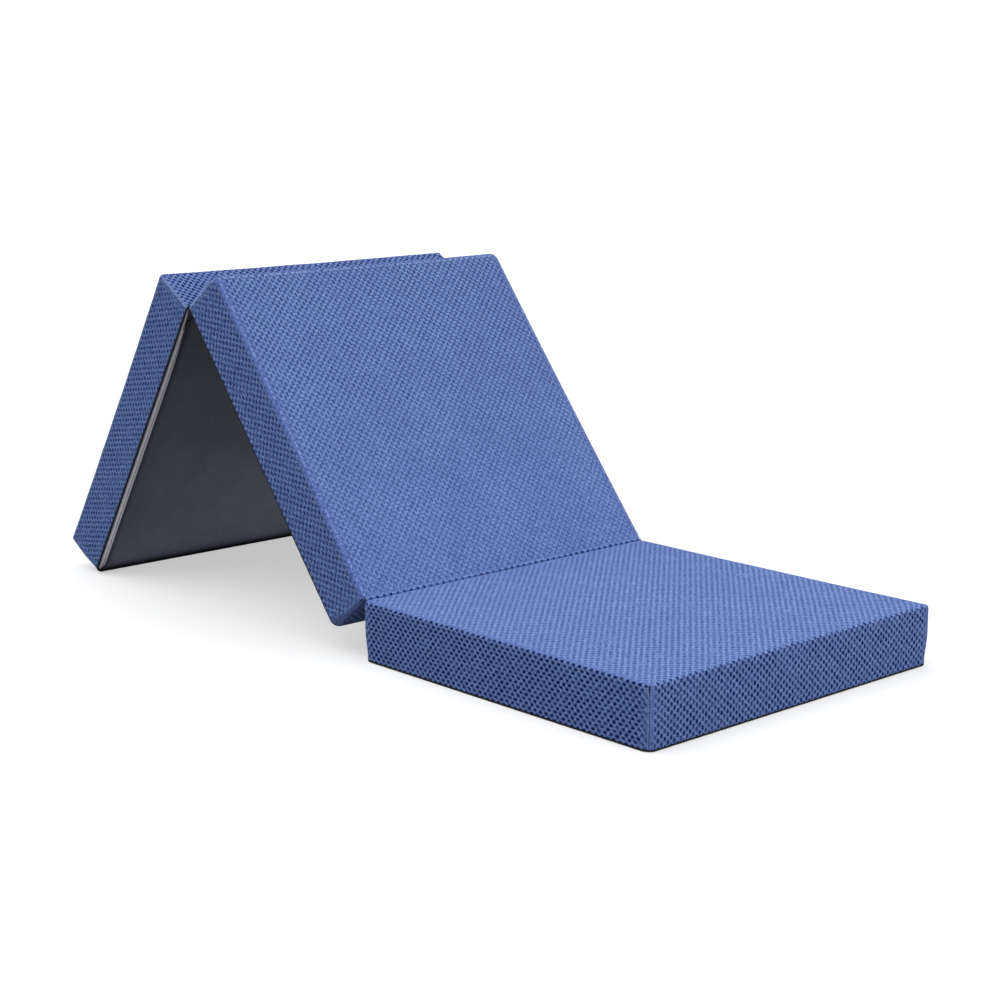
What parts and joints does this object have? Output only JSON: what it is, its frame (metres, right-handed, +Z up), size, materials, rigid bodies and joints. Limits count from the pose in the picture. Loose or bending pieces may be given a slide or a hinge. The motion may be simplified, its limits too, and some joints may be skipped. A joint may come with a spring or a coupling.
{
  "type": "folding sofa bed",
  "caption": "Tri-fold foam mattress in a blue mesh cover with a charcoal underside, standing with a flat seat panel and a tent-shaped back; it unfolds to a bed or stacks into a block.",
  "frame": {"origin": "on the floor under the middle of the front panel, at the centre of its underside", "axes": "+X from the front fold towards the front panel's free end, +Y across the panels away from the zips, +Z up"},
  "size_m": [1.5245, 0.65, 0.5922],
  "materials": {
    "blue_mesh": "matte spacer mesh with staggered oval holes",
    "charcoal_sheet": "matte, faintly mottled",
    "black_piping": "matte",
    "white_foam": "open-cell foam",
    "cream_foam": "open-cell foam",
    "grey_tape": "woven, slight sheen",
    "grey_coil": "satin",
    "zinc": "satin grey"
  },
  "bodies": {
    "front_panel": {"front_mesh_cover": "blue_mesh", "front_base_foam": "white_foam", "front_comfort_foam": "cream_foam", "front_bottom_sheet": "charcoal_sheet", "front_edge_piping": "black_piping", "front_zip_tape_near": "grey_tape", "front_zip_tape_far": "grey_tape", "front_zip_coil_near": "grey_coil", "front_zip_coil_far": "grey_coil", "front_hinge_seam": "blue_mesh"},
    "front_slider": {"front_zip_slider": "zinc"},
    "front_pull": {"front_zip_pull": "zinc"},
    "middle_panel": {"middle_mesh_cover": "blue_mesh", "middle_base_foam": "white_foam", "middle_comfort_foam": "cream_foam", "middle_bottom_sheet": "charcoal_sheet", "middle_edge_piping": "black_piping", "middle_zip_tape_near": "grey_tape", "middle_zip_tape_far": "grey_tape", "middle_zip_coil_near": "grey_coil", "middle_zip_coil_far": "grey_coil", "rear_hinge_seam": "black_piping"},
    "middle_slider": {"middle_zip_slider": "zinc"},
    "middle_pull": {"middle_zip_pull": "zinc"},
    "rear_panel": {"rear_mesh_cover": "blue_mesh", "rear_base_foam": "white_foam", "rear_comfort_foam": "cream_foam", "rear_bottom_sheet": "charcoal_sheet", "rear_edge_piping": "black_piping", "rear_zip_tape_near": "grey_tape", "rear_zip_tape_far": "grey_tape", "rear_zip_coil_near": "grey_coil", "rear_zip_coil_far": "grey_coil"},
    "rear_slider": {"rear_zip_slider": "zinc"},
    "rear_pull": {"rear_zip_pull": "zinc"}
  },
  "joints": [
    {"name": "front_fold", "type": "hinge", "parent": "front_panel", "child": "middle_panel", "pos_m": [-0.3165, 0, 0.1], "axis": [0, 1, 0], "range_deg": [-51.6, 125.2]},
    {"name": "rear_fold", "type": "hinge", "parent": "middle_panel", "child": "rear_panel", "pos_m": [-0.78806, 0, 0.53396], "axis": [0, -1, 0], "range_deg": [-109.24, 70.1]},
    {"name": "front_zip_travel", "type": "slide", "parent": "front_panel", "child": "front_slider", "axis": [1, 0, 0], "range_m": [0, 0.5564]},
    {"name": "middle_zip_travel", "type": "slide", "parent": "middle_panel", "child": "middle_slider", "axis": [-0.6211, 0, 0.7837], "range_m": [0, 0.5558]},
    {"name": "rear_zip_travel", "type": "slide", "parent": "rear_panel", "child": "rear_slider", "axis": [-0.5352, 0, -0.8447], "range_m": [0, 0.5564]},
    {"name": "front_pull_swing", "type": "hinge", "parent": "front_slider", "child": "front_pull", "pos_m": [-0.2779, -0.3117, 0.00145], "axis": [0, 1, 0], "range_deg": [0, 180]},
    {"name": "middle_pull_swing", "type": "hinge", "parent": "middle_slider", "child": "middle_pull", "pos_m": [-0.41771, -0.3117, 0.06904], "axis": [0, -1, 0], "range_deg": [0, 180]},
    {"name": "rear_pull_swing", "type": "hinge", "parent": "rear_slider", "child": "rear_pull", "pos_m": [-0.80994, -0.3117, 0.50213], "axis": [0, -1, 0], "range_deg": [0, 180]}
  ]
}
